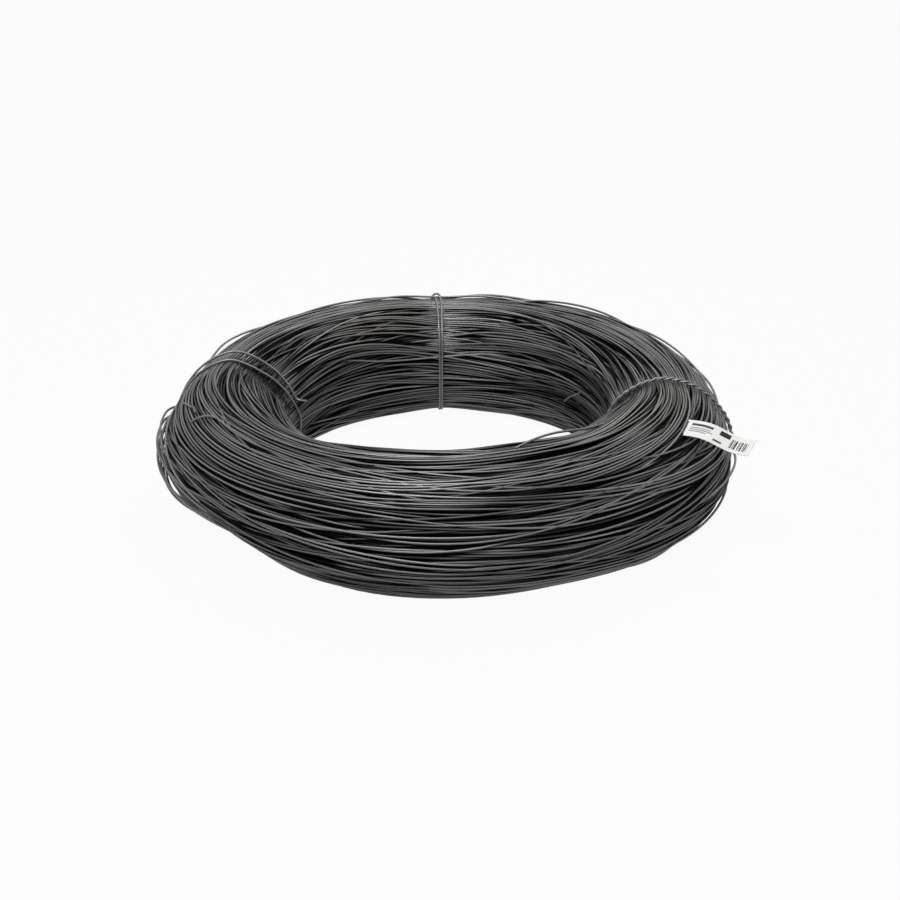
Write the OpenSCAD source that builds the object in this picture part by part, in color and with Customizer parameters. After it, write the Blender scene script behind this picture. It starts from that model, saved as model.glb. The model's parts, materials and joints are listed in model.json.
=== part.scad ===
// Coil of annealed steel wire, lying flat, held by three doubled tie wires and marked by a paper tag.
// Millimetres, +Z up. The origin is on the axis of the bore, at the level that the coil rests on.

/* [Wire] */
// Diameter of the wire that is wound into the coil
wire_d = 1.65; // [1.2:0.05:3]
// Depth of the furrow between neighbouring turns
furrow_depth = 0.55; // [0.3:0.05:0.8]
// Width of the flat crest of a turn, which bears on the floor and on a drum in the bore
crest_w = 0.75; // [0.4:0.05:1]

/* [Coil] */
// Diameter of the bore that the coiling drum leaves
bore_d = 224; // [180:1:260]
// Thickness of the coil from its bore to its widest turns
build_w = 88; // [74:1:110]
// Height from the floor to the highest turns
coil_h = 86; // [70:1:110]
// Height of the widest turns above the floor
belly_h = 34; // [26:1:44]
// Width of the rounded outer side below the widest turns
belly_w = 48; // [30:1:56]
// Width of the rounded outer side above the widest turns
crown_w = 46; // [30:1:54]
// Width of the rounded rim at the top of the bore
lip_w = 25; // [16:1:30]
// Height of the rounded rim at the top of the bore
lip_h = 20; // [12:1:28]
// Width of the rounded rim at the bottom of the bore
foot_w = 21; // [14:1:26]
// Height of the rounded rim at the bottom of the bore
foot_h = 18; // [12:1:26]

/* [Waists] */
// Angle on either side of a tie over which it draws the coil in
waist_spread = 14; // [10:0.5:15]
// How far a tight tie draws in the top and the outer side
waist_draw = 5; // [2:0.5:8]
// Width of the slope that a tight tie makes of the rim at the top of the bore
slope_w = 46; // [34:1:48]
// Height of that slope
slope_h = 44; // [34:1:50]
// How tight the tie at the right is, from 0 for no waist to 1 for a full one
right_tie_pull = 0.6; // [0:0.05:1]
// How tight the tie at the back is
back_tie_pull = 0.4; // [0:0.05:1]
// How tight the tie at the left is
left_tie_pull = 1; // [0:0.05:1]

/* [Ties] */
// Diameter of the tie wire
tie_d = 1.65; // [1.2:0.05:2.4]
// Distance between the two strands of a tie, centre to centre
tie_spacing = 3.2; // [2.8:0.1:5]
// Clearance between a tie and the turns that it presses in
tie_clear = 0.3; // [0.2:0.05:0.6]
// How far a tie lies below the turns on either side of it
tie_sunk = 0.15; // [0.05:0.05:0.5]
// Length of the twisted ends of a tie
twist_length = 16; // [10:1:24]
// Distance along the section from the widest turns up to where the back tie is closed
close_above_length = 42; // [36:1:50]
// Distance along the section from the widest turns down to where the other ties are closed
close_below_length = 12; // [9:1:15]
// Direction of the tie at the right, counter-clockwise from +X
right_tie_at = -4; // [-12:1:12]
// Direction of the tie at the back
back_tie_at = 92; // [80:1:100]
// Direction of the tie at the left
left_tie_at = 168; // [156:1:180]

/* [Tag] */
// Length of the tag
tag_length = 68; // [50:1:80]
// Width of the tag
tag_width = 20; // [12:1:26]
// Thickness of the folded paper
tag_thickness = 0.3; // [0.2:0.05:0.6]
// Length of the tag that reaches inwards from where it lies on the coil
tag_tuck_length = 8; // [6:0.5:10]
// Clearance between the tag and the turn that it lies on
tag_clear = 0.3; // [0.2:0.05:0.6]
// Radius that the tag is bent to
tag_bend_r = 500; // [200:10:700]
// Direction of the tag, counter-clockwise from +X
tag_at = -26; // [-50:1:-15]
// Angle on the rounded outer side at which the tag lies on the coil, from the widest turns up
tag_rise = 80; // [68:1:84]

/* [Hidden] */

wire_r = wire_d / 2;
tie_r = tie_d / 2;
bore_r = bore_d / 2;
outer_r = bore_r + build_w;

// Room for the straight steps that a groove and its tie are drawn in
groove_sag = 0.3;
// A tie lies in a groove of the coil, as deep as the tie wire, its clearance and its sinking.
groove_depth = tie_sunk + tie_d + tie_clear + groove_sag;
groove_w = tie_spacing + tie_d + 2 * tie_clear;
groove_angle = asin(groove_w / 2 / bore_r);
tie_inset = tie_sunk + tie_r;
ties_at = [right_tie_at, back_tie_at, left_tie_at];
ties_pull = [right_tie_pull, back_tie_pull, left_tie_pull];

coil_steps = 72;
corner_steps = 16;
waist_corner_steps = 9;
waist_steps = 6;
ring_sides = 8;
ring_step = 2 * tie_d;
// Least length of the straight top, wall and base of the section
least_straight = 2;
// How straight a tight tie makes its slope, from 0 for round to 1
slope_straightness = 0.75;

// Section of the coil in the plane through its axis: a box with four rounded corners.

function mixed(a, b, share) = a + (b - a) * share;

// A quarter of an ellipse, counter-clockwise from an angle
function quarter(centre, half_w, half_h, from, steps) =
    [for (i = [0:steps]) let (q = from + 90 * i / steps) centre + [half_w * cos(q), half_h * sin(q)]];

// The rim at the top of the bore: a quarter of an ellipse that a tie pulls to a nearly straight slope
function rim(centre, half_w, half_h, pull, steps) = let (
    round_rim = quarter(centre, half_w, half_h, 90, steps))
    [for (i = [0:steps]) let (slope = centre + [-half_w * i / steps, half_h * (1 - i / steps)])
        mixed(round_rim[i], slope, pull * slope_straightness)];

// The section's outline, drawn in by a share of a tight tie's pull
function outline(pull, steps) = let (
    outer = outer_r - pull * waist_draw,
    top = coil_h - pull * waist_draw,
    rim_w = mixed(lip_w, slope_w, pull),
    rim_h = min(mixed(lip_h, slope_h, pull), top - foot_h - least_straight),
    side_w = min(belly_w, outer - bore_r - foot_w - least_straight),
    shoulder_w = min(crown_w, outer - bore_r - rim_w - least_straight),
    shoulder = quarter([outer - shoulder_w, belly_h], shoulder_w, top - belly_h, 0, steps))
    concat(
        quarter([outer - side_w, belly_h], side_w, belly_h, -90, steps),
        [for (i = [1:steps]) shoulder[i]],
        rim([bore_r + rim_w, top - rim_h], rim_w, rim_h, pull, steps),
        quarter([bore_r + foot_w, foot_h], foot_w, foot_h, 180, steps));

// The distance run along a closed outline at each of its points, and back at the first
function runs(points) = [for (
    i = 0, run = 0;
    i <= len(points);
    run = run + norm(points[(i + 1) % len(points)] - points[i % len(points)]), i = i + 1) run];

// Tables that give a point of a closed outline for the distance run along it
function tables(points) = let (run = runs(points), n = len(points)) [
    [for (i = [0:n]) [run[i], points[i % n].x]],
    [for (i = [0:n]) [run[i], points[i % n].y]],
    run[n]];

function girth(table) = table[2];
function wrapped(table, run) = run - girth(table) * floor(run / girth(table));
function along(table, run) = let (s = wrapped(table, run)) [lookup(s, table[0]), lookup(s, table[1])];

// The outward direction of a closed outline at a distance run along it
function outward(table, run) = let (
    step = along(table, run + wire_r) - along(table, run - wire_r),
    n = norm(step)) [step.y / n, -step.x / n];

// Wire coil

skin_table = tables(outline(0, corner_steps));
turn_count = floor(girth(skin_table) / wire_d);
turn_pitch = girth(skin_table) / turn_count;

// One turn on the skin: the furrow before it, then the two edges of its flat crest
function turn_points(i) = let (run = (i + 0.5) * turn_pitch) [
    along(skin_table, run - turn_pitch / 2) - furrow_depth * outward(skin_table, run - turn_pitch / 2),
    along(skin_table, run - crest_w / 2),
    along(skin_table, run + crest_w / 2)];

// The section with every turn on its skin
module turns_section() {
    polygon([for (i = [0:turn_count - 1]) each turn_points(i)]);
}

// The outward direction of a straight step
function step_normal(a, b) = let (step = b - a) [step.y, -step.x] / norm(step);

// A closed outline with each of its sides moved in by a distance
function shrunk(points, depth) = let (n = len(points)) [for (i = [0:n - 1]) let (
    before = step_normal(points[(i + n - 1) % n], points[i]),
    after = step_normal(points[i], points[(i + 1) % n]))
    points[i] - depth * (before + after) / (1 + before * after)];

// The share of a tie's pull at an angle from it, which fades out over the spread of its waist
function fading(angle) = (1 + cos(180 * angle / waist_spread)) / 2;

// Tongues at both ends of a waist reach under the turns beside it, deeper than their furrows.
tongue_angle = 1;
tongue_cover = 0.25;
tongue_depth = furrow_depth + tongue_cover;
// Angle of the seam between a waist and the turns
seam_angle = 0.15;

// One half of a waist as sections with their angle from the tie, pull and depth below the skin
half_waist = concat(
    [[groove_angle, 1, groove_depth]],
    [for (i = [0:waist_steps]) let (q = mixed(groove_angle, waist_spread, i / waist_steps)) [q, fading(q), 0]],
    [[waist_spread, 0, tongue_depth], [waist_spread + tongue_angle, 0, tongue_depth]]);
whole_waist = concat(
    [for (i = [len(half_waist) - 1:-1:0]) [-half_waist[i][0], half_waist[i][1], half_waist[i][2]]],
    half_waist);

// The smooth waist that a tie draws the turns in to, with the tie's groove in its middle
module waist(pull) {
    sections = [for (s = whole_waist) let (
        points = shrunk(outline(s[1] * pull, waist_corner_steps), s[2]))
        [for (c = points) [c.x * cos(s[0]), c.x * sin(s[0]), c.y]]];
    n = len(sections[0]);
    last = len(sections) - 1;
    function corner(i, k) = i * n + k % n;
    polyhedron(
        points = [for (s = sections) each s],
        faces = concat(
            [[for (k = [n - 1:-1:0]) corner(0, k)]],
            [for (i = [0:last - 1]) for (k = [0:n - 1])
                [corner(i, k), corner(i, k + 1), corner(i + 1, k + 1), corner(i + 1, k)]],
            [[for (k = [0:n - 1]) corner(last, k)]]));
}

module wire_coil() {
    end_angle = waist_spread + seam_angle;
    color("dimgray") union() {
        for (i = [0:len(ties_at) - 1]) {
            from = ties_at[i] + end_angle;
            to = (i + 1 < len(ties_at) ? ties_at[i + 1] : ties_at[0] + 360) - end_angle;
            rotate([0, 0, from]) rotate_extrude(angle = to - from, $fn = coil_steps) turns_section();
            rotate([0, 0, ties_at[i]]) waist(ties_pull[i]);
        }
    }
}

// Ties: one wire, doubled. It runs round the section, turns back in a bight and ends in a twist.

bight_r = tie_spacing / 2;
twist_r = (tie_d + tie_clear) / 2;
// The twist lies over the bight, clear of it.
twist_h = tie_r + tie_clear + twist_r + tie_r;
twist_pitch = 4 * tie_d;
lead_length = 3 * tie_d;
closing_gap = tie_d + bight_r;

// Places on a tie as [run along the section, side, height above the tie's own line]
function twist_places(end, turn) = [for (run = [twist_length:-twist_pitch / 8:0])
    let (q = 360 * run / twist_pitch + turn)
    [end - lead_length - run, twist_r * cos(q), twist_h + twist_r * sin(q)]];
function strand_places(from, to, side) = let (n = ceil((to - from) / ring_step))
    [for (i = [0:n]) [from + (to - from) * i / n, side, 0]];
function bight_places(at) = [for (q = [30:30:150]) [at + bight_r * sin(q), bight_r * cos(q), 0]];
function backwards(list) = [for (i = [len(list) - 1:-1:0]) list[i]];

function tie_places(table, start) = let (end = start + girth(table) - closing_gap) concat(
    twist_places(start, 0),
    strand_places(start, end, bight_r),
    bight_places(end),
    backwards(strand_places(start, end, -bight_r)),
    backwards(twist_places(start, 180)));

function unit(v) = v / norm(v);
function tie_normal(table, place) = let (n = outward(table, place[0])) [n.x, 0, n.y];
function tie_point(table, place) = let (
    p = along(table, place[0]),
    height = place[2] - tie_inset,
    n = tie_normal(table, place)) [p.x + n.x * height, place[1], p.y + n.z * height];

// A round wire swept along points, with a direction across it for each point
module swept_wire(points, across, radius) {
    last = len(points) - 1;
    function tangent(i) = unit(points[min(i + 1, last)] - points[max(i - 1, 0)]);
    function ring(i) = let (
        t = tangent(i),
        u = unit(across[i] - (across[i] * t) * t),
        v = cross(t, u))
        [for (k = [0:ring_sides - 1]) let (q = 360 * k / ring_sides)
            points[i] + radius * (cos(q) * u + sin(q) * v)];
    function corner(i, k) = i * ring_sides + k % ring_sides;
    polyhedron(
        points = [for (i = [0:last]) each ring(i)],
        faces = concat(
            [[for (k = [0:ring_sides - 1]) corner(0, k)]],
            [for (i = [0:last - 1]) for (k = [0:ring_sides - 1])
                [corner(i, k + 1), corner(i, k), corner(i + 1, k), corner(i + 1, k + 1)]],
            [[for (k = [ring_sides - 1:-1:0]) corner(last, k)]]));
}

// A tie at a direction round the coil, closed at a distance along the section from the widest turns
module tie(at, pull, closed_at) {
    table = tables(outline(pull, corner_steps));
    belly_run = table[0][corner_steps][0];
    places = tie_places(table, belly_run + closed_at);
    color("#4a4c4b") rotate([0, 0, at])
        swept_wire([for (p = places) tie_point(table, p)], [for (p = places) tie_normal(table, p)], tie_r);
}

module tie_left() { tie(left_tie_at, left_tie_pull, -close_below_length); }
module tie_back() { tie(back_tie_at, back_tie_pull, close_above_length); }
module tie_right() { tie(right_tie_at, right_tie_pull, -close_below_length); }

// Tag: a strip of folded paper that lies on the outer side and stands off it like a flag

crown_h = coil_h - belly_h;
tag_touch = [outer_r - crown_w + crown_w * cos(tag_rise), belly_h + crown_h * sin(tag_rise)];
// Angle of the coil's surface from level where the tag touches it
tag_tilt = atan2(cos(tag_rise) / crown_w, sin(tag_rise) / crown_h);
tag_angle = tag_length / tag_bend_r * 180 / PI;
tag_tuck_angle = tag_tuck_length / tag_bend_r * 180 / PI;

module tag() {
    color("white")
        rotate([0, 0, tag_at])
        translate([tag_touch.x, 0, tag_touch.y])
        rotate([0, tag_tilt, 0])
        translate([0, tag_width / 2, tag_clear - tag_bend_r])
        rotate([90, 0, 0])
        rotate([0, 0, 90 + tag_tuck_angle - tag_angle])
        rotate_extrude(angle = tag_angle, $fn = coil_steps)
            translate([tag_bend_r, 0]) square([tag_thickness, tag_width]);
}

wire_coil();
tie_left();
tie_back();
tie_right();
tag();
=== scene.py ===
"""Dresses the coil of annealed wire: loose strands round a core painted black as shade, three tie wires and
a paper tag.
"""

import json
import math

import bpy
import numpy as np
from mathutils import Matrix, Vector

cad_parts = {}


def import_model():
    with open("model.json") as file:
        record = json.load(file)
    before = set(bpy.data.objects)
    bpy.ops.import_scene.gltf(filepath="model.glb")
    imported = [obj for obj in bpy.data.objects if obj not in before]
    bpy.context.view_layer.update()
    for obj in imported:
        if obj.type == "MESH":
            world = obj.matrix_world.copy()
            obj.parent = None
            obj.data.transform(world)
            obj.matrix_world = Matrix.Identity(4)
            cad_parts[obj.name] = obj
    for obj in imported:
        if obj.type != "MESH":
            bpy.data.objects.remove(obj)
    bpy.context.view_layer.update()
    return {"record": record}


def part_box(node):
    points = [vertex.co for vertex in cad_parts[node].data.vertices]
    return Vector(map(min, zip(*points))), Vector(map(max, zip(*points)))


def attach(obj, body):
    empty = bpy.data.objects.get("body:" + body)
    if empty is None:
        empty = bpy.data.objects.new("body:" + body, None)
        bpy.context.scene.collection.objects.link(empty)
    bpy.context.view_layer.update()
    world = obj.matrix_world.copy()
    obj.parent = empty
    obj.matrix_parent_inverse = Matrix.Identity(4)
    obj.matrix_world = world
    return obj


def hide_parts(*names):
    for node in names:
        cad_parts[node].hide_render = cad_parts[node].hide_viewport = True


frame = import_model()

# Sizes are in millimetres until a mesh is made, and directions round the coil are in degrees,
# counter-clockwise from +X.
MM = 0.001
SEED = 16
coil_low, coil_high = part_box("wire_coil")
OUTER_R = -coil_low.y / MM
COIL_H = (coil_high.z - coil_low.z) / MM
BORE_R = next(m for m in frame["record"]["mounts"] if m["name"] == "bore")["dims"]["r_mm"]
WIRE_R = 0.825
TIE_R = 0.825

# The rounded corners of the coil's section, each with its width and height. The crown has the height that
# the belly leaves.
BELLY_W = 48.0
BELLY_H = 34.0
CROWN_W = 46.0
LIP_W = 25.0
LIP_H = 20.0
FOOT_W = 21.0
FOOT_H = 18.0

# The waists that the ties draw the coil in to: their spread, how far the top and the outer side are drawn
# in, and the slope that the rim of the bore becomes
WAIST_SPREAD = 14.0
WAIST_DRAW = 5.0
SLOPE_W = 46.0
SLOPE_H = 44.0
SLOPE_STRAIGHTNESS = 0.75
# The least straight between the crown and the rim
LEAST_STRAIGHT = 2.0

RIGHT_TIE_AT = -4.0
BACK_TIE_AT = 92.0
LEFT_TIE_AT = 168.0
# Direction of each tie, and how tight it is
TIES = ((RIGHT_TIE_AT, 0.6), (BACK_TIE_AT, 0.4), (LEFT_TIE_AT, 1.0))

# Stations round the coil, points of its skin at each, strands, strands in a piece and sides of a strand
STATIONS = 120
SKIN_POINTS = 240
STRANDS = 590
STRANDS_A_PIECE = 118
SIDES = 6
# Sides of the ties and of the wires that stand off the coil
LINE_SIDES = 8

rng = np.random.default_rng(SEED)


# Section of the coil

CORNER_STEPS = 60


def quarter(centre_r, centre_z, half_w, half_h, start):
    """A quarter of an ellipse, counter-clockwise from an angle."""
    angle = np.radians(start + np.linspace(0.0, 90.0, CORNER_STEPS))
    return np.stack([centre_r + half_w * np.cos(angle), centre_z + half_h * np.sin(angle)], axis=1)


def rim(centre_r, centre_z, half_w, half_h, pull):
    """The rim at the top of the bore: a quarter of an ellipse that a tie pulls to a nearly straight
    slope."""
    round_rim = quarter(centre_r, centre_z, half_w, half_h, 90)
    share = np.linspace(0.0, 1.0, CORNER_STEPS)
    slope = np.stack([centre_r - half_w * share, centre_z + half_h * (1.0 - share)], axis=1)
    return round_rim + (slope - round_rim) * pull * SLOPE_STRAIGHTNESS


def resampled(points, count):
    """A closed line's points at equal steps from its first point on, and its length."""
    closed = np.concatenate([points, points[:1]])
    run = np.concatenate([[0.0], np.cumsum(np.linalg.norm(np.diff(closed, axis=0), axis=1))])
    at = np.linspace(0.0, run[-1], count, endpoint=False)
    return np.stack([np.interp(at, run, closed[:, k]) for k in range(closed.shape[1])], axis=1), run[-1]


def outward(points):
    """The outward normals of a closed counter-clockwise line in the plane of the section."""
    step = np.roll(points, -1, axis=0) - np.roll(points, 1, axis=0)
    normal = np.stack([step[:, 1], -step[:, 0]], axis=1)
    return normal / np.linalg.norm(normal, axis=1, keepdims=True)


def section(pull):
    """The section's skin, drawn in by a share of a tight tie's pull, and its girth."""
    outer = OUTER_R - pull * WAIST_DRAW
    top = COIL_H - pull * WAIST_DRAW
    rim_w = LIP_W + (SLOPE_W - LIP_W) * pull
    rim_h = LIP_H + (SLOPE_H - LIP_H) * pull
    shoulder_w = min(CROWN_W, outer - BORE_R - rim_w - LEAST_STRAIGHT)
    corners = [
        quarter(outer - BELLY_W, BELLY_H, BELLY_W, BELLY_H, -90),
        quarter(outer - shoulder_w, BELLY_H, shoulder_w, top - BELLY_H, 0),
        rim(BORE_R + rim_w, top - rim_h, rim_w, rim_h, pull),
        quarter(BORE_R + FOOT_W, FOOT_H, FOOT_W, FOOT_H, 180),
    ]
    return resampled(np.concatenate(corners), SKIN_POINTS)


def bell(value, centre, width):
    """A smooth bump, 1 at its centre."""
    return np.exp(-(((value - centre) / width) ** 2))


def turned(angle, centre):
    """How far a direction is from another round the coil, from -180 to 180."""
    return (angle - centre + 180.0) % 360.0 - 180.0


def ramp(value, low, high):
    """0 below low, 1 above high and a smooth rise between them."""
    t = np.clip((value - low) / (high - low), 0.0, 1.0)
    return t * t * (3.0 - 2.0 * t)


_, girth = section(0.0)
azimuth = np.arange(STATIONS) * 360.0 / STATIONS

# Room for a tie at the foot of the coil: its depth, its spread, and the heights between which it fades out
TIE_SLACK = 0.4
TIE_BED = 4.0 * TIE_R + TIE_SLACK
TIE_BED_SPREAD = 7.0
TIE_BED_HEIGHTS = (4.0, 40.0)

# Where the skin stands out or lies back: direction, its spread, share of the girth from the outer end of
# the base, its spread, distance out
SWELLS = (
    (192.0, 18.0, 0.27, 0.08, 1.0),
    (217.0, 14.0, 0.14, 0.07, -16.0),
    (-46.0, 14.0, 0.15, 0.06, 1.5),
    (-64.0, 13.0, 0.09, 0.06, -3.5),
    (-46.0, 12.0, 0.57, 0.06, -4.0),
    (275.0, 26.0, 0.40, 0.032, -3.0),
    (-22.0, 20.0, 0.26, 0.08, 2.5),
    (18.0, 16.0, 0.36, 0.08, -3.0),
    (98.0, 34.0, 0.46, 0.07, -3.0),
    (217.0, 21.0, 0.60, 0.07, -10.0),
    (293.0, 16.0, 0.585, 0.06, 3.0),
    (46.0, 22.0, 0.80, 0.045, -11.0),
)


def skins():
    """The section's skin at each station: drawn in at the ties, and uneven."""
    place = np.arange(SKIN_POINTS) / SKIN_POINTS
    made = []
    for at in azimuth:
        pull = 0.0
        bed = 0.0
        for tie, tightness in TIES:
            off = abs(turned(at, tie))
            if off < WAIST_SPREAD:
                pull = tightness * (1.0 + math.cos(math.pi * off / WAIST_SPREAD)) / 2.0
            bed += TIE_BED * bell(off, 0.0, TIE_BED_SPREAD)
        skin, _ = section(pull)
        out = -bed * (1.0 - ramp(skin[:, 1], *TIE_BED_HEIGHTS))
        for direction, spread, share, share_spread, distance in SWELLS:
            out += distance * bell(turned(at, direction), 0.0, spread) * bell(place, share, share_spread)
        made.append(skin + out[:, None] * outward(skin))
    return np.array(made)


# Strands

def waves(count, sizes):
    """Smooth closed wanderings round the coil: one row for each of count, one column for each station."""
    angle = np.radians(azimuth)
    total = np.zeros((count, STATIONS))
    for k, size in enumerate(sizes):
        amplitude = rng.normal(0.0, size, count)
        phase = rng.uniform(0.0, 2.0 * np.pi, count)
        total += amplitude[:, None] * np.cos((k + 1) * angle[None, :] + phase[:, None])
    return total


# Locks of strands: the fewest and the most strands side by side, the fewest and the most rows, the spacing
# of strands and of rows in wire diameters, the greatest mean depth of a lock's first row, and the step to
# the next lock as a share of the girth
LOCK_WIDTHS = (3, 8)
LOCK_ROWS = (1, 2)
LOCK_SPACINGS = (1.05, 1.6)
ROW_SPACING = 0.87
LOCK_DEPTH = 4.5
NEXT_LOCK = 0.618
# How far locks and strands wander along the girth and in depth, in one wave round the coil, two and so on
LOCK_WAVES = (5.0, 4.5, 3.0)
LOCK_DEPTH_WAVES = (1.2, 1.4, 1.0)
STRAND_WAVES = (1.2, 1.2, 1.0, 0.6)
STRAND_DEPTH_WAVES = (0.4, 0.5, 0.5, 0.4)
# The share of strands that leave their lock, and how many times as far they wander
FREE_SHARE = 0.2
FREE_TIMES = 5.0
FREE_DEPTH_TIMES = 2.0
# No strand is laid deeper than this.
DEEPEST = 10.0


def lay_locks():
    """Where each strand runs, in locks: along the girth and below the skin, for each station."""
    along = []
    below = []
    wire_d = 2.0 * WIRE_R
    share = 0.0
    while len(along) < STRANDS:
        wide = int(rng.integers(LOCK_WIDTHS[0], LOCK_WIDTHS[1] + 1))
        deep = int(rng.integers(LOCK_ROWS[0], LOCK_ROWS[1] + 1))
        spacing = wire_d * rng.uniform(*LOCK_SPACINGS)
        share += NEXT_LOCK
        lock_along = share * girth + waves(1, LOCK_WAVES)[0]
        lock_below = rng.uniform(0.0, LOCK_DEPTH) + waves(1, LOCK_DEPTH_WAVES)[0]
        for row in range(deep):
            for place in range(wide):
                along.append(lock_along + (place - wide / 2 + 0.5 * (row % 2)) * spacing)
                below.append(lock_below + row * wire_d * ROW_SPACING)
    along = np.array(along[:STRANDS])
    below = np.array(below[:STRANDS])
    free = rng.uniform(0.0, 1.0, STRANDS) < FREE_SHARE
    along += waves(STRANDS, STRAND_WAVES) * np.where(free, FREE_TIMES, 1.0)[:, None]
    below += waves(STRANDS, STRAND_DEPTH_WAVES) * np.where(free, FREE_DEPTH_TIMES, 1.0)[:, None]
    return along, np.clip(below, 0.0, DEEPEST)


def on_skin(skin, along, below):
    """Points below the skin of one station, from distances along the girth."""
    normal = outward(skin)
    place = (along / girth % 1.0) * SKIN_POINTS
    first = place.astype(int) % SKIN_POINTS
    second = (first + 1) % SKIN_POINTS
    part = (place - np.floor(place))[:, None]
    point = skin[first] * (1.0 - part) + skin[second] * part
    direction = normal[first] * (1.0 - part) + normal[second] * part
    return point - (below + WIRE_R)[:, None] * direction


# Rounds of pushing strands apart and of easing them after it, and rounds between two looks for neighbours
ROUNDS = 72
EASING_ROUNDS = 7
LOOK_AGAIN = 6
# Strands are neighbours within this many wire diameters.
REACH = 2.0
# How far a round moves strands apart, eases them and draws them back into a shell below the skin, and the
# depth of the shell
EAGERNESS = 1.4
SMOOTHING = 0.4
FIRMNESS = 0.3
SHELL = 8.0
# Keeps a division off zero
TINY = 1e-6


def neighbours(points):
    """Pairs of strands that are close at a station, as two lists of places in the flattened array."""
    first = []
    second = []
    for j in range(STATIONS):
        r, z = points[j].T
        close = (r[:, None] - r) ** 2 + (z[:, None] - z) ** 2 < (REACH * 2.0 * WIRE_R) ** 2
        one, other = np.nonzero(np.triu(close, 1))
        first.append(one + j * STRANDS)
        second.append(other + j * STRANDS)
    return np.concatenate(first), np.concatenate(second)


def nearest_skin(points, all_skins):
    """The number of the skin's point that is nearest to each strand at each station."""
    found = []
    for j in range(STATIONS):
        r, z = points[j].T
        skin_r, skin_z = all_skins[j].T
        found.append(((r[:, None] - skin_r) ** 2 + (z[:, None] - skin_z) ** 2).argmin(axis=1))
    return np.array(found)


def push_apart(points, first, second):
    """Moves overlapping strands away from each other."""
    flat = points.reshape(-1, 2)
    gap = flat[first] - flat[second]
    distance = np.sqrt((gap ** 2).sum(axis=1)) + TINY
    overlap = np.clip(2.0 * WIRE_R - distance, 0.0, None)
    touching = overlap > 0.0
    first, second = first[touching], second[touching]
    move = gap[touching] * (0.5 * overlap[touching] / distance[touching])[:, None]
    crowd = np.bincount(first, minlength=len(flat)) + np.bincount(second, minlength=len(flat))
    for k in range(2):
        total = np.bincount(first, move[:, k], len(flat)) - np.bincount(second, move[:, k], len(flat))
        flat[:, k] += EAGERNESS * total / np.maximum(0.5 * crowd + 0.5, 1.0)
    return points


def eased(points):
    """Takes the sharp bends out of the strands."""
    mean = 0.5 * (np.roll(points, 1, axis=0) + np.roll(points, -1, axis=0))
    return points + SMOOTHING * (mean - points)


def relaxed_strands(all_skins):
    """The strands' places in the section at each station, pushed apart: station, strand, (r, z)."""
    along, below = lay_locks()
    points = np.array([on_skin(all_skins[j], along[:, j], below[:, j]) for j in range(STATIONS)])
    all_normals = np.array([outward(skin) for skin in all_skins])
    station = np.arange(STATIONS)[:, None]
    for turn in range(ROUNDS):
        if turn % LOOK_AGAIN == 0:
            first, second = neighbours(points)
            nearest = nearest_skin(points, all_skins)
            skin = all_skins[station, nearest]
            normal = all_normals[station, nearest]
        points = push_apart(points, first, second)
        depth = -((points - skin) * normal).sum(axis=2)
        move = np.clip(WIRE_R - depth, 0.0, None) - FIRMNESS * np.clip(depth - SHELL, 0.0, None)
        points -= move[..., None] * normal
        points = eased(points)
    for _ in range(EASING_ROUNDS):
        points = eased(points)
    return points


# Meshes

def linked(name, mesh, material):
    """A piece of the coil from a mesh."""
    mesh.materials.append(material)
    piece = bpy.data.objects.new(name, mesh)
    bpy.context.scene.collection.objects.link(piece)
    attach(piece, "root")
    return piece


def toned(mesh, colours):
    """Gives each vertex of a mesh its own colour."""
    tone = mesh.color_attributes.new("tone", "FLOAT_COLOR", "POINT")
    opaque = np.ones((len(mesh.vertices), 4), np.float32)
    opaque[:, :3] = colours
    tone.data.foreach_set("color", opaque.ravel())


def quad_mesh(name, vertices, quads):
    """A smooth mesh from arrays, in millimetres."""
    mesh = bpy.data.meshes.new(name)
    mesh.vertices.add(len(vertices))
    mesh.vertices.foreach_set("co", (vertices * MM).astype(np.float32).ravel())
    mesh.loops.add(quads.size)
    mesh.loops.foreach_set("vertex_index", quads.astype(np.int32).ravel())
    mesh.polygons.add(len(quads))
    mesh.polygons.foreach_set("loop_start", np.arange(len(quads), dtype=np.int32) * 4)
    mesh.polygons.foreach_set("use_smooth", np.ones(len(quads), bool))
    mesh.update(calc_edges=True)
    return mesh


def ring_quads(count, stations, sides):
    """Faces of count closed tubes, each with rings of points at the stations."""
    strand = np.arange(count)[:, None, None]
    station = np.arange(stations)[None, :, None]
    side = np.arange(sides)[None, None, :]

    def index(j, k):
        """The number of a point in the list of all rings."""
        return strand * stations * sides + (j % stations) * sides + k % sides

    quads = [
        index(station, side),
        index(station + 1, side),
        index(station + 1, side + 1),
        index(station, side + 1),
    ]
    return np.stack(np.broadcast_arrays(*quads), axis=-1).reshape(-1, 4)


def tube_points(points):
    """Rings round strands given as station, strand, (r, z): strand, station, side, (x, y, z)."""
    turn = np.arange(SIDES) * 2.0 * np.pi / SIDES
    r = points[:, :, None, 0] + WIRE_R * np.cos(turn)
    z = points[:, :, None, 1] + WIRE_R * np.sin(turn)
    angle = np.radians(azimuth)[:, None, None]
    xyz = np.stack([r * np.cos(angle), r * np.sin(angle), z], axis=-1)
    return np.moveaxis(xyz, 1, 0)


# How often a line's corners are cut, at which share of its steps, and the fewest points that it keeps
CORNER_CUTS = 3
CUT_AT = 0.25
LEAST_POINTS = 3


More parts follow.
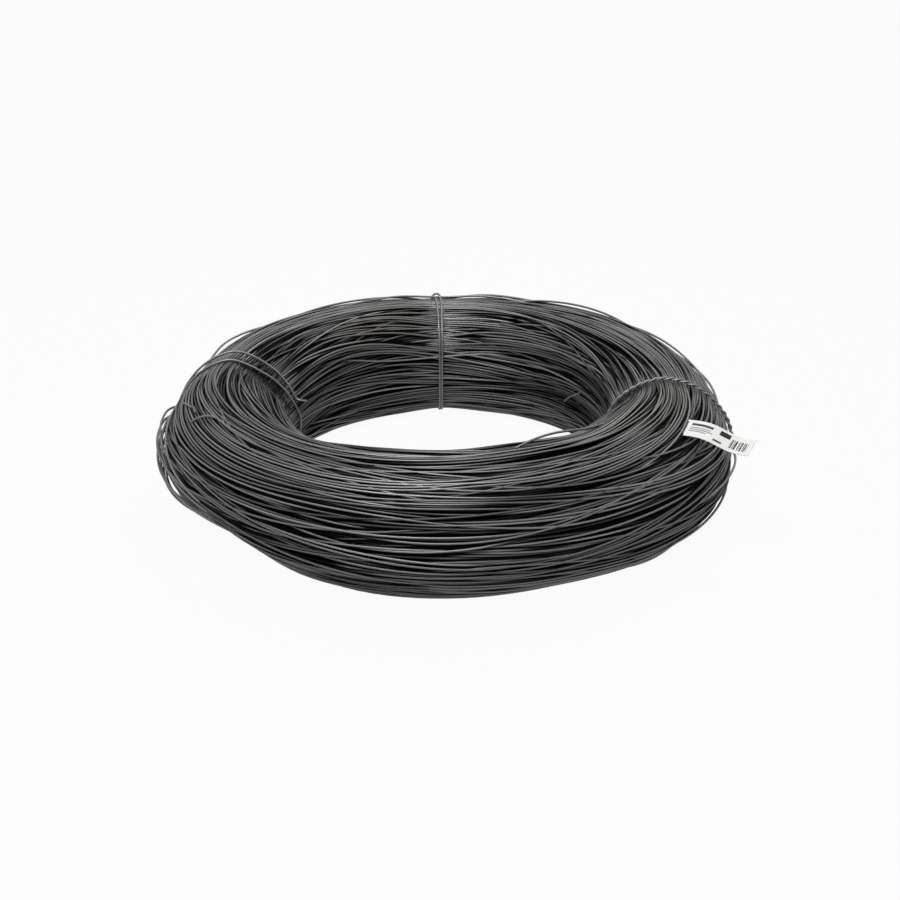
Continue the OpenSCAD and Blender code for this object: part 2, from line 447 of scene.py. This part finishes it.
def smooth_line(points, step):
    """An open line's points at about equal steps, with its corners cut to a smooth curve."""
    points = np.asarray(points, float)
    for _ in range(CORNER_CUTS):
        after = (1.0 - CUT_AT) * points[:-1] + CUT_AT * points[1:]
        before = CUT_AT * points[:-1] + (1.0 - CUT_AT) * points[1:]
        cut = np.stack([after, before], 1).reshape(-1, 3)
        points = np.concatenate([points[:1], cut, points[-1:]])
    run = np.concatenate([[0.0], np.cumsum(np.linalg.norm(np.diff(points, axis=0), axis=1))])
    at = np.linspace(0.0, run[-1], max(int(run[-1] / step), LEAST_POINTS))
    return np.stack([np.interp(at, run, points[:, k]) for k in range(3)], axis=1)


# A direction that no wire starts along
ASKEW = (0.3, 0.5, 0.8)


def swept(points, radius, sides):
    """Vertices and faces of a round wire with flat ends along points."""
    tangent = np.gradient(points, axis=0)
    tangent /= np.linalg.norm(tangent, axis=1, keepdims=True)
    across = np.cross(tangent[0], ASKEW)
    turn = np.arange(sides) * 2.0 * np.pi / sides
    rings = []
    for place, t in zip(points, tangent):
        across = across - (across @ t) * t
        across /= np.linalg.norm(across)
        other = np.cross(t, across)
        rings.append(place + radius * (np.cos(turn)[:, None] * across + np.sin(turn)[:, None] * other))
    faces = [tuple(range(sides))[::-1]]
    for i in range(len(points) - 1):
        for k in range(sides):
            j = (k + 1) % sides
            faces.append((i * sides + k, i * sides + j, (i + 1) * sides + j, (i + 1) * sides + k))
    faces.append(tuple(range((len(points) - 1) * sides, len(points) * sides)))
    return np.concatenate(rings), faces


def wires_mesh(name, lines, radius, sides, colours):
    """One smooth mesh of several swept wires, each with its colour."""
    vertices = []
    faces = []
    tones = []
    count = 0
    for line, colour in zip(lines, colours):
        points, own = swept(line, radius, sides)
        faces += [tuple(count + k for k in face) for face in own]
        vertices.append(points)
        tones.append(np.broadcast_to(colour, points.shape))
        count += len(points)
    mesh = bpy.data.meshes.new(name)
    mesh.from_pydata((np.concatenate(vertices) * MM).tolist(), [], faces)
    mesh.polygons.foreach_set("use_smooth", [len(face) == 4 for face in faces])
    toned(mesh, np.concatenate(tones))
    return mesh


# Materials

def principled(name, colour=None, roughness=0.5, metallic=0.0, specular=0.5):
    """A plain material, coloured by the piece's own tones if no colour is given."""
    material = bpy.data.materials.new(name)
    material.use_nodes = True
    shader = material.node_tree.nodes["Principled BSDF"]
    shader.inputs["Roughness"].default_value = roughness
    shader.inputs["Metallic"].default_value = metallic
    shader.inputs["Specular IOR Level"].default_value = specular
    if colour is None:
        tone = material.node_tree.nodes.new("ShaderNodeAttribute")
        tone.attribute_name = "tone"
        material.node_tree.links.new(tone.outputs["Color"], shader.inputs["Base Color"])
    else:
        shader.inputs["Base Color"].default_value = (*colour, 1.0)
    return material


STEEL = np.array((0.172, 0.175, 0.172))
annealed = principled("annealed_wire", roughness=0.38, metallic=0.55, specular=0.0)
# The core's near-black colour is painted shade of the inner turns.
core_dark = principled("core_dark", (0.003, 0.003, 0.003), roughness=0.9, specular=0.0)
paper = principled("paper", (0.82, 0.82, 0.8), roughness=0.55)
ink_black = principled("ink_black", (0.02, 0.02, 0.022), roughness=0.6, specular=0.1)
ink_grey = principled("ink_grey", (0.07, 0.07, 0.075), roughness=0.6, specular=0.1)

# Turns of the coil

# How much the strands' own tones differ, and their limits
TONE_SPREAD = 0.28
TONE_LIMITS = (0.5, 1.8)
# Painted shade: how dark deep strands are painted, and the depths between which they darken
DEEP_PAINTED_SHADE = 0.95
DEEP_DEPTHS = (0.1, 1.6)
# For the painted shade, depth counts from near the highest strand within a reach along the girth: the
# reach, and the share of that strand's own depth that is taken off
COVER_REACH = 3.5
COVER_SHARE = 0.92
# Painted shade on a strand's flanks: how dark they are, and how far its surface faces outwards there and
# at its bright ridge
FLANK_PAINTED_SHADE = 0.97
FLANK_FACING = (0.1, 1.0)
# Faint brown patches: direction, its spread, share of the girth, its spread
BROWN_PATCHES = (
    (-26.0, 16.0, 0.49, 0.06),
    (117.0, 16.0, 0.60, 0.06),
)
BROWN = np.array((1.04, 0.98, 0.92))
# Hollows between the strands that little light reaches, painted with shade, in the same order
DARK_HOLLOWS = (
    (46.0, 24.0, 0.795, 0.028),
    (262.0, 16.0, 0.325, 0.020),
    (288.0, 14.0, 0.385, 0.018),
)
HOLLOW_PAINTED_SHADE = 0.75


def spots(rows, direction, place):
    """How far places on the skin lie in spots: 1 in the middle of one."""
    total = np.zeros(len(place))
    for at, spread, share, share_spread in rows:
        total += bell(turned(direction, at), 0.0, spread) * bell(place, share, share_spread)
    return total


def strand_colours():
    """Colours of the strands' rings: each has its tone, with painted shade where they lie deep or face
    inwards.
    """
    tones = np.clip(rng.normal(1.0, TONE_SPREAD, STRANDS), *TONE_LIMITS)
    turn = np.arange(SIDES) * 2.0 * np.pi / SIDES
    rows = []
    for j in range(STATIONS):
        gap = np.linalg.norm(strands[j][:, None, :] - all_skins[j][None, :, :], axis=2)
        nearest = gap.argmin(axis=1)
        normal = outward(all_skins[j])[nearest]
        facing = normal[:, :1] * np.cos(turn) + normal[:, 1:] * np.sin(turn)
        depth = gap.min(axis=1) - WIRE_R
        place = nearest / SKIN_POINTS
        run = place * girth
        beside = np.abs(run[:, None] - run) < COVER_REACH
        cover = np.where(beside, depth, np.inf).min(axis=1)
        # Painted shade: deep strands, the listed hollows and the strands' inward flanks are darkened.
        shade = tones * (1.0 - DEEP_PAINTED_SHADE * ramp(depth - COVER_SHARE * cover, *DEEP_DEPTHS))
        shade *= 1.0 - HOLLOW_PAINTED_SHADE * spots(DARK_HOLLOWS, azimuth[j], place)
        shade = shade[:, None] * (1.0 - FLANK_PAINTED_SHADE * (1.0 - ramp(facing, *FLANK_FACING)))
        brown = spots(BROWN_PATCHES, azimuth[j], place)
        tint = STEEL * (1.0 + brown[:, None] * (BROWN - 1.0))
        rows.append(shade[:, :, None] * tint[:, None, :])
    return np.swapaxes(np.array(rows), 0, 1)


all_skins = skins()
strands = relaxed_strands(all_skins)
tubes = tube_points(strands)
colours = strand_colours()
for first in range(0, STRANDS, STRANDS_A_PIECE):
    some = tubes[first:first + STRANDS_A_PIECE]
    name = f"turns_{first // STRANDS_A_PIECE + 1}"
    mesh = quad_mesh(name, some.reshape(-1, 3), ring_quads(len(some), STATIONS, SIDES))
    toned(mesh, colours[first:first + STRANDS_A_PIECE].reshape(-1, 3))
    piece = linked(name, mesh, annealed)
    if first == 0:
        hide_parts("wire_coil")

# The core, painted near black as the shade of the inner turns: its depth below the skin, and the step
# between the points of the skin that it has
CORE_INSET = 10.5
CORE_STEP = 5
core_skins = np.array([skin - CORE_INSET * outward(skin) for skin in all_skins])[:, ::CORE_STEP]
core_angle = np.radians(azimuth)[:, None]
core_points = np.stack([
    core_skins[:, :, 0] * np.cos(core_angle),
    core_skins[:, :, 0] * np.sin(core_angle),
    core_skins[:, :, 1],
], axis=-1)
core_quads = ring_quads(1, STATIONS, core_skins.shape[1])
core_mesh = quad_mesh("inner_turns", core_points.reshape(-1, 3), core_quads)
linked("inner_turns", core_mesh, core_dark)


# Loose turns that stand off the coil

def skin_at(direction):
    """The skin at a direction, between two stations."""
    place = direction % 360.0 / 360.0 * STATIONS
    j = int(place)
    part = place - j
    return (1.0 - part) * all_skins[j] + part * all_skins[(j + 1) % STATIONS]


def skin_place(direction, share, out):
    """A point off the skin, at a share of the girth from the outer end of the base."""
    skin = skin_at(direction)
    r, z = on_skin(skin, np.array([share * girth]), np.array([-out - WIRE_R]))[0]
    angle = math.radians(direction)
    return np.array([r * math.cos(angle), r * math.sin(angle), max(z, WIRE_R)])


# Each with its first and last direction, its shares of the girth there and how far it stands off
LOOSE = (
    (66.0, 128.0, 0.43, 0.46, 2.2),
    (58.0, 108.0, 0.41, 0.44, 1.4),
    (86.0, 140.0, 0.45, 0.42, 1.6),
    (34.0, 74.0, 0.41, 0.43, 2.0),
    (2.0, 46.0, 0.34, 0.40, 2.4),
    (-4.0, 34.0, 0.31, 0.37, 1.6),
    (136.0, 172.0, 0.40, 0.37, 1.8),
    (172.0, 226.0, 0.30, 0.22, 2.0),
    (174.0, 216.0, 0.27, 0.25, 3.0),
    (176.0, 224.0, 0.24, 0.20, 2.4),
    (178.0, 222.0, 0.33, 0.23, 1.6),
    (184.0, 230.0, 0.21, 0.17, 1.6),
    (190.0, 236.0, 0.17, 0.14, 1.4),
    (172.0, 212.0, 0.285, 0.25, 4.4),
    (180.0, 230.0, 0.255, 0.205, 3.6),
    (186.0, 224.0, 0.225, 0.19, 3.0),
    (176.0, 220.0, 0.265, 0.21, 4.2),
    (170.0, 206.0, 0.31, 0.27, 3.6),
    (-48.0, -8.0, 0.16, 0.20, 1.1),
    (-58.0, -26.0, 0.10, 0.12, 1.2),
    (-36.0, 2.0, 0.24, 0.26, 1.8),
    (-72.0, -34.0, 0.56, 0.575, 4.0),
)
# Distance between a loose turn's points, degrees between those that shape it, and depth of its ends
LOOSE_STEP = 2.5
LOOSE_TURN = 1.5
LOOSE_ENDS_BELOW = 4.0
# Below 1, a loose turn rises fast and stays off the coil for long.
LOOSE_RISE = 0.8
LOOSE_TONE = 1.05
LOOSE_TONE_SPREAD = 0.15


def loose_line(first, last, share_first, share_last, out):
    """A turn that comes out of the coil, stands off it and goes back in."""
    count = int((last - first) / LOOSE_TURN)
    line = []
    for t in np.linspace(0.0, 1.0, count):
        rise = math.sin(math.pi * t) ** LOOSE_RISE
        direction = first + (last - first) * t
        share = share_first + (share_last - share_first) * t
        line.append(skin_place(direction, share, -LOOSE_ENDS_BELOW + (LOOSE_ENDS_BELOW + out) * rise))
    return smooth_line(line, LOOSE_STEP)


# Short ends that stick out, as points with a direction, a share of the girth and a distance off the skin
STRAY_ENDS = (
    ((27.0, 0.725, -9.0), (32.0, 0.742, -1.5), (36.0, 0.755, 1.5), (39.5, 0.769, 2.5), (42.5, 0.787, 4.0)),
    ((185.0, 0.36, -3.0), (191.0, 0.385, 0.5), (195.0, 0.395, 2.0), (197.0, 0.404, 3.5),
     (198.5, 0.398, 1.0)),
    ((199.5, 0.375, -1.0), (200.5, 0.39, 1.5), (203.5, 0.425, 1.5), (208.0, 0.44, -2.0)),
)

loose_lines = [loose_line(*row) for row in LOOSE]
loose_lines += [smooth_line([skin_place(*point) for point in row], LOOSE_STEP) for row in STRAY_ENDS]
loose_tones = [STEEL * tone for tone in rng.normal(LOOSE_TONE, LOOSE_TONE_SPREAD, len(loose_lines))]
loose_mesh = wires_mesh("loose_turns", loose_lines, WIRE_R, LINE_SIDES, loose_tones)
linked("loose_turns", loose_mesh, annealed)


# Ties

def hull(points):
    """The convex outline of points in the plane, counter-clockwise."""
    order = points[np.lexsort((points[:, 1], points[:, 0]))]

    def half(sequence):
        """The lower half of the outline, or the upper one from points in reverse."""
        chain = []
        for p in sequence:
            while len(chain) > 1:
                a = chain[-1] - chain[-2]
                b = p - chain[-2]
                if a[0] * b[1] - a[1] * b[0] > 0.0:
                    break
                chain.pop()
            chain.append(p)
        return chain[:-1]

    return np.array(half(order) + half(order[::-1]))


# Distance between a tie's points, points of its ring, how bright its steel is and rounds of easing
TIE_STEP = 1.2
TIE_POINTS = 240
TIE_TONE = 1.2
TIE_EASING_ROUNDS = 3


def tie_ring(direction):
    """The line of a tie drawn tight round the strands at a direction, from the outer end of the base on."""
    place = direction % 360.0 / 360.0 * STATIONS
    j = int(place)
    near = np.concatenate([strands[j], strands[(j + 1) % STATIONS]])
    ring, _ = resampled(hull(near), TIE_POINTS)
    ring = ring + (WIRE_R + TIE_R) * outward(ring)
    for _ in range(TIE_EASING_ROUNDS):
        ring = 0.25 * np.roll(ring, 1, axis=0) + 0.5 * ring + 0.25 * np.roll(ring, -1, axis=0)
    ring, _ = resampled(ring, TIE_POINTS)
    start = np.argmin(np.hypot(ring[:, 0] - (OUTER_R - BELLY_W), ring[:, 1]))
    return np.roll(ring, -start, axis=0)


def tie_line(ring, at, lean, side, from_share, to_share):
    """One strand of a tie. lean turns it with the radius, and side sets it aside and above its ring."""
    first = int(from_share * TIE_POINTS)
    last = int(to_share * TIE_POINTS)
    normal = outward(ring)
    middle = (OUTER_R + BORE_R) / 2
    line = []
    for i in range(first, last + 1):
        k = i % TIE_POINTS
        aside, height = side(i / TIE_POINTS)
        r, z = ring[k] + height * normal[k]
        angle = math.radians(at + lean * (r - middle) / (OUTER_R - BORE_R))
        x = r * math.cos(angle) - aside * math.sin(angle)
        y = r * math.sin(angle) + aside * math.cos(angle)
        line.append((x, y, max(z, TIE_R)))
    return np.array(line)


def make_tie(name, node, lines):
    """A tie from the lines of its wire."""
    smooth = [smooth_line(line, TIE_STEP) for line in lines]
    mesh = wires_mesh(name, smooth, TIE_R, LINE_SIDES, [STEEL * TIE_TONE] * len(lines))
    piece = linked(name, mesh, annealed)
    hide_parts(node)


# How far a tie's slack spreads, as a share of its ring
SLACK_SPREAD = 0.16


def apart(distance, loose, centre, lift=0.0):
    """A strand beside the middle of its tie, further off and lifted where the tie lies loose."""
    def side(t):
        slack = float(bell(t, centre, SLACK_SPREAD))
        return distance + loose * slack, lift * slack
    return side


def fixed(aside, height):
    """A set place beside the middle of a tie and above it."""
    def side(t):
        return aside, height
    return side


TIE_TWISTS = 24


def twisted(phase, turns):
    """A strand that winds round the other strand of its tie."""
    def side(t):
        angle = phase + 2.0 * math.pi * turns * t
        return TIE_R * math.cos(angle), TIE_R * (1.0 + math.sin(angle))
    return side


right_ring = tie_ring(RIGHT_TIE_AT)
make_tie("tie_wire_right", "tie_right", [
    tie_line(right_ring, RIGHT_TIE_AT, 0.0, twisted(0.0, TIE_TWISTS), 0.0, 1.0),
    tie_line(right_ring, RIGHT_TIE_AT, 0.0, twisted(math.pi, TIE_TWISTS), 0.0, 1.0),
])

# The back tie's strands lie a little apart, and more so near the top.
BACK_APART = 0.85
BACK_SLACK = 1.0
BACK_SLACK_AT = 0.46
# The back tie's bight stands up at the top as a hook: share of the girth, distance aside and height
BACK_HOOK = (
    (0.440, -1.9, 0.2),
    (0.428, -1.6, 2.4),
    (0.420, 0.2, 3.4),
    (0.422, 2.4, 3.0),
    (0.434, 4.2, 1.8),
    (0.446, 4.8, 0.6),
)
# The back tie lies a little to the left of the middle of its waist.
BACK_TIE_LINE_AT = BACK_TIE_AT + 0.8
back_ring = tie_ring(BACK_TIE_LINE_AT)
hook = [tie_line(back_ring, BACK_TIE_LINE_AT, 0.0, fixed(aside, height), share, share)[0]
        for share, aside, height in BACK_HOOK]
make_tie("tie_wire_back", "tie_back", [
    tie_line(back_ring, BACK_TIE_LINE_AT, 0.0, apart(BACK_APART, BACK_SLACK, BACK_SLACK_AT), 0.0, 1.0),
    tie_line(back_ring, BACK_TIE_LINE_AT, 0.0, apart(-BACK_APART, -BACK_SLACK, BACK_SLACK_AT), 0.0, 1.0),
    np.array(hook),
])

# One strand of the left tie lies loose over the rim and ends in a tail that points into the bore.
LEFT_LEAN = 10.0
LEFT_APART = 1.2
LEFT_SLACK_AT = 0.52
LEFT_SLACK = 1.0
LEFT_LOOSE_SLACK = 6.0
LEFT_LOOSE_LIFT = 3.0
LEFT_END = 0.70
# Distance into the bore and height of the tail's points
LEFT_TAIL = ((3.0, -1.0), (8.0, -0.5))
left_ring = tie_ring(LEFT_TIE_AT)
tight_side = apart(LEFT_APART, LEFT_SLACK, LEFT_SLACK_AT)
loose_side = apart(-LEFT_APART, -LEFT_LOOSE_SLACK, LEFT_SLACK_AT, LEFT_LOOSE_LIFT)
loose_strand = tie_line(left_ring, LEFT_TIE_AT, LEFT_LEAN, loose_side, 0.0, LEFT_END)
inward = np.array((-loose_strand[-1, 0], -loose_strand[-1, 1], 0.0))
inward /= np.linalg.norm(inward)
tail = [loose_strand[-1] + reach * inward + (0.0, 0.0, height) for reach, height in LEFT_TAIL]
make_tie("tie_wire_left", "tie_left", [
    tie_line(left_ring, LEFT_TIE_AT, LEFT_LEAN, tight_side, 0.0, 1.0),
    np.concatenate([loose_strand, tail]),
])

# Tag

TAG_AT = -26.0
TAG_WIDTH = 20.0
TAG_THICKNESS = 0.3
# Radius and height of the tag's inner and outer end
TAG_INNER = (172.0, 79.0)
TAG_OUTER = (221.0, 72.0)
# The tag's wave: its height, the waves in the tag's length, and the part of a wave before the first zero
TAG_WAVE = 1.4
TAG_WAVES = 1.15
TAG_WAVE_BEFORE = 0.15
# How much the tag rises across its width, as a share of it
TAG_TILT = 0.14
# Faces along and across the tag
TAG_STEPS = 40
TAG_ACROSS = 12

# The tag's plain print: the first and last share of its length and of its width, and its ink
PRINT = (
    (0.12, 0.42, 0.68, 0.82, ink_grey),
    (0.12, 0.40, 0.54, 0.58, ink_grey),
    (0.12, 0.44, 0.43, 0.47, ink_grey),
    (0.12, 0.36, 0.32, 0.36, ink_grey),
    (0.52, 0.67, 0.60, 0.86, ink_black),
    (0.48, 0.60, 0.16, 0.26, ink_grey),
)
# Faces along and across a mark, and along and across a bar
PRINT_STEPS = (6, 2)
BAR_STEPS = (2, 4)
# Bars, each with a gap of its own width after it: shares of the tag's length and width, and relative widths
BARS_FROM = 0.70
BARS_TO = 0.94
BARS_LOW = 0.18
BARS_HIGH = 0.70
BARS = (0.2, 0.5, 0.3, 0.8, 0.4, 0.2, 0.6, 0.3, 0.5, 0.2)


def tag_point(along, across, lift):
    """A point of the tag at shares of its length and width, lifted off its middle."""
    r = TAG_INNER[0] + (TAG_OUTER[0] - TAG_INNER[0]) * along
    z = TAG_INNER[1] + (TAG_OUTER[1] - TAG_INNER[1]) * along
    z += TAG_WAVE * math.sin(2.0 * math.pi * (TAG_WAVES * along - TAG_WAVE_BEFORE)) + lift
    side = (across - 0.5) * TAG_WIDTH
    z += TAG_TILT * side
    angle = math.radians(TAG_AT)
    x = r * math.cos(angle) - side * math.sin(angle)
    y = r * math.sin(angle) + side * math.cos(angle)
    return (x * MM, y * MM, z * MM)


def tag_patch(first, last, low, high, steps, across, bottom, top):
    """Vertices and faces of a closed patch of the tag between two lifts."""
    vertices = []
    for lift in (top, bottom):
        for u in np.linspace(first, last, steps + 1):
            for v in np.linspace(low, high, across + 1):
                vertices.append(tag_point(u, v, lift))
    row = across + 1
    sheet = row * (steps + 1)
    faces = []
    for i in range(steps):
        for k in range(across):
            a = i * row + k
            faces.append((a, a + row, a + row + 1, a + 1))
            faces.append((sheet + a, sheet + a + 1, sheet + a + row + 1, sheet + a + row))
    edge = [i * row for i in range(steps)] + [steps * row + k for k in range(across)]
    edge += [i * row + across for i in range(steps, 0, -1)] + [k for k in range(across, 0, -1)]
    for a, b in zip(edge, edge[1:] + edge[:1]):
        faces.append((a, sheet + a, sheet + b, b))
    return vertices, faces


def patches_mesh(name, patches):
    """One mesh of several patches of the tag."""
    vertices = []
    faces = []
    for patch in patches:
        points, own = tag_patch(*patch)
        faces += [tuple(len(vertices) + k for k in face) for face in own]
        vertices += points
    mesh = bpy.data.meshes.new(name)
    mesh.from_pydata(vertices, [], faces)
    return mesh


# The ink lies this far into the paper and above it.
INK_LIFT = 0.03
face_lift = TAG_THICKNESS / 2
ink_lifts = (face_lift - INK_LIFT, face_lift + INK_LIFT)
tag_mesh = patches_mesh("paper_tag", [(0.0, 1.0, 0.0, 1.0, TAG_STEPS, TAG_ACROSS, -face_lift, face_lift)])
tag = linked("paper_tag", tag_mesh, paper)
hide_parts("tag")
for ink in (ink_grey, ink_black):
    marks = [(*row[:4], *PRINT_STEPS, *ink_lifts) for row in PRINT if row[4] is ink]
    if ink is ink_black:
        at = BARS_FROM
        for width in BARS:
            room = width / sum(BARS) * (BARS_TO - BARS_FROM)
            marks.append((at, at + room / 2, BARS_LOW, BARS_HIGH, *BAR_STEPS, *ink_lifts))
            at += room
    linked(f"tag_{ink.name}", patches_mesh(f"tag_{ink.name}", marks), ink)

# Camera, with its distance and aim in outer radii of the coil

CAMERA_DISTANCE = 6.385
CAMERA_ELEVATION = 24.9
CAMERA_AIM = (0.007, 0.0, 0.129)
LENS = 71.7
SENSOR_WIDTH = 36.0

camera_data = bpy.data.cameras.new("camera")
camera_data.lens = LENS
camera_data.sensor_width = SENSOR_WIDTH
camera = bpy.data.objects.new("camera", camera_data)
bpy.context.scene.collection.objects.link(camera)
elevation = math.radians(CAMERA_ELEVATION)
back = Vector((0.0, -math.cos(elevation), math.sin(elevation)))
unit = OUTER_R * MM
camera.location = Vector(CAMERA_AIM) * unit + back * CAMERA_DISTANCE * unit
camera.rotation_euler = (-back).to_track_quat("-Z", "Y").to_euler()
bpy.context.scene.camera = camera


# Floor and light, in metres and watts

WHITE = (1.0, 1.0, 1.0, 1.0)
FLOOR_SIZE = 60.0
FLOOR_GREY = (0.5, 0.5, 0.5)
# How much of the floor's own colour gives way to white where the camera sees it
FLOOR_WHITE = 0.95
# How strongly the surroundings light the coil, where 1 is white
WORLD_DIM = 0.05
# Lamps, each with its name, place and power, and the size and the aim of both
LAMPS = (
    ("key", (-0.3, -0.6, 1.8), 30.0),
    ("rim", (0.5, 1.2, 1.5), 10.0),
)
LAMP_SIZE = 0.9
LAMP_AIM = (0.0, 0.0, 0.04)


def seen_directly(nodes, links):
    """1 for what the camera sees, straight, mirrored or through glass, and 0 for scattered light."""
    path = nodes.new("ShaderNodeLightPath")
    found = path.outputs["Is Camera Ray"]
    for ray in ("Is Glossy Ray", "Is Transmission Ray"):
        either = nodes.new("ShaderNodeMath")
        either.operation = "MAXIMUM"
        links.new(found, either.inputs[0])
        links.new(path.outputs[ray], either.inputs[1])
        found = either.outputs["Value"]
    return found


def floor():
    """A pale floor that is nearly white to the camera and keeps a soft shadow."""
    bpy.ops.mesh.primitive_plane_add(size=FLOOR_SIZE)
    plane = bpy.context.object
    plane.name = "floor"
    material = principled("floor_white", FLOOR_GREY, roughness=0.9, specular=0.0)
    nodes = material.node_tree.nodes
    links = material.node_tree.links
    glow = nodes.new("ShaderNodeEmission")
    share = nodes.new("ShaderNodeMath")
    share.operation = "MULTIPLY"
    share.inputs[1].default_value = FLOOR_WHITE
    links.new(seen_directly(nodes, links), share.inputs[0])
    mix = nodes.new("ShaderNodeMixShader")
    links.new(share.outputs["Value"], mix.inputs["Fac"])
    links.new(nodes["Principled BSDF"].outputs["BSDF"], mix.inputs[1])
    links.new(glow.outputs["Emission"], mix.inputs[2])
    links.new(mix.outputs["Shader"], nodes["Material Output"].inputs["Surface"])
    plane.data.materials.append(material)


def lamp(name, place, power):
    """A soft lamp that points at the coil."""
    data = bpy.data.lights.new(name, "AREA")
    data.size = LAMP_SIZE
    data.energy = power
    made = bpy.data.objects.new(name, data)
    made.location = place
    made.rotation_euler = (Vector(LAMP_AIM) - Vector(place)).to_track_quat("-Z", "Y").to_euler()
    bpy.context.scene.collection.objects.link(made)


def world():
    """Surroundings that are white to the camera and give little light."""
    made = bpy.data.worlds.new("studio")
    bpy.context.scene.world = made
    made.use_nodes = True
    nodes = made.node_tree.nodes
    links = made.node_tree.links
    dim = nodes["Background"]
    dim.inputs["Color"].default_value = WHITE
    dim.inputs["Strength"].default_value = WORLD_DIM
    white = nodes.new("ShaderNodeBackground")
    white.inputs["Color"].default_value = WHITE
    mix = nodes.new("ShaderNodeMixShader")
    links.new(seen_directly(nodes, links), mix.inputs["Fac"])
    links.new(dim.outputs["Background"], mix.inputs[1])
    links.new(white.outputs["Background"], mix.inputs[2])
    links.new(mix.outputs["Shader"], nodes["World Output"].inputs["Surface"])


floor()
world()
for row in LAMPS:
    lamp(*row)
bpy.context.scene.view_settings.view_transform = "Standard"
